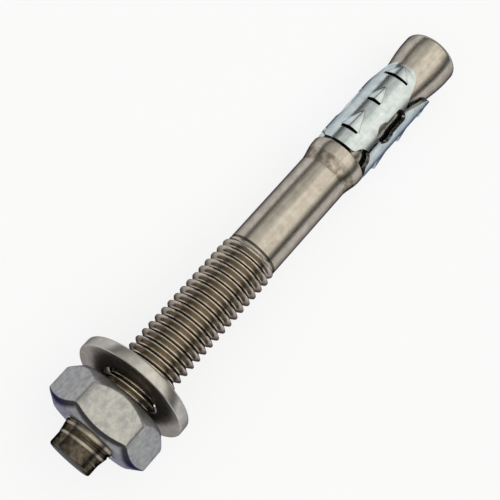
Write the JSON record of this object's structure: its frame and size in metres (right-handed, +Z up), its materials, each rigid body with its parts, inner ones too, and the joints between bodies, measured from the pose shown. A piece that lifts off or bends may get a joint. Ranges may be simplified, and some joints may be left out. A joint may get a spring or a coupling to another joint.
{
  "type": "wedge anchor",
  "caption": "Metal wedge anchor lying on its side: threaded stud with collar and cone end, slotted expansion clip, flat washer and hexagon nut.",
  "frame": {"origin": "middle of the box's base, on the surface the anchor lies on", "axes": "+Z up; +X from the nut's end towards the cone, in the vertical plane of the stud's axis, which slopes down to the cone by 3.62 degrees; +Y across"},
  "size_m": [0.0924, 0.02, 0.0198],
  "materials": {
    "stud_zinc": "satin zinc plate with a warm grey-brown cast",
    "clip_zinc": "bright bluish zinc plate",
    "washer_zinc": "satin zinc plate",
    "nut_zinc": "satin zinc plate, faintly blotched"
  },
  "bodies": {
    "stud": {"anchor_stud": "stud_zinc"},
    "washer": {"flat_washer": "washer_zinc"},
    "nut": {"hex_nut": "nut_zinc"},
    "clip": {"expansion_clip": "clip_zinc"}
  },
  "joints": [
    {"name": "washer_slide", "type": "slide", "parent": "stud", "child": "washer", "axis": [0.998, 0, -0.0632], "range_m": [-0.0061, 0.0286]},
    {"name": "nut_turn", "type": "hinge", "parent": "washer", "child": "nut", "pos_m": [-0.0377, 0, 0.01028], "axis": [0.998, 0, -0.0632], "range_deg": [-1440, 6840]},
    {"name": "clip_turn", "type": "hinge", "parent": "stud", "child": "clip", "pos_m": [0.02904, 0, 0.00606], "axis": [0.998, 0, -0.0632], "continuous": true}
  ],
  "couplings": [
    {"joint": "washer_slide", "follows": "nut_turn", "m_per_rad": 0.00023873}
  ]
}
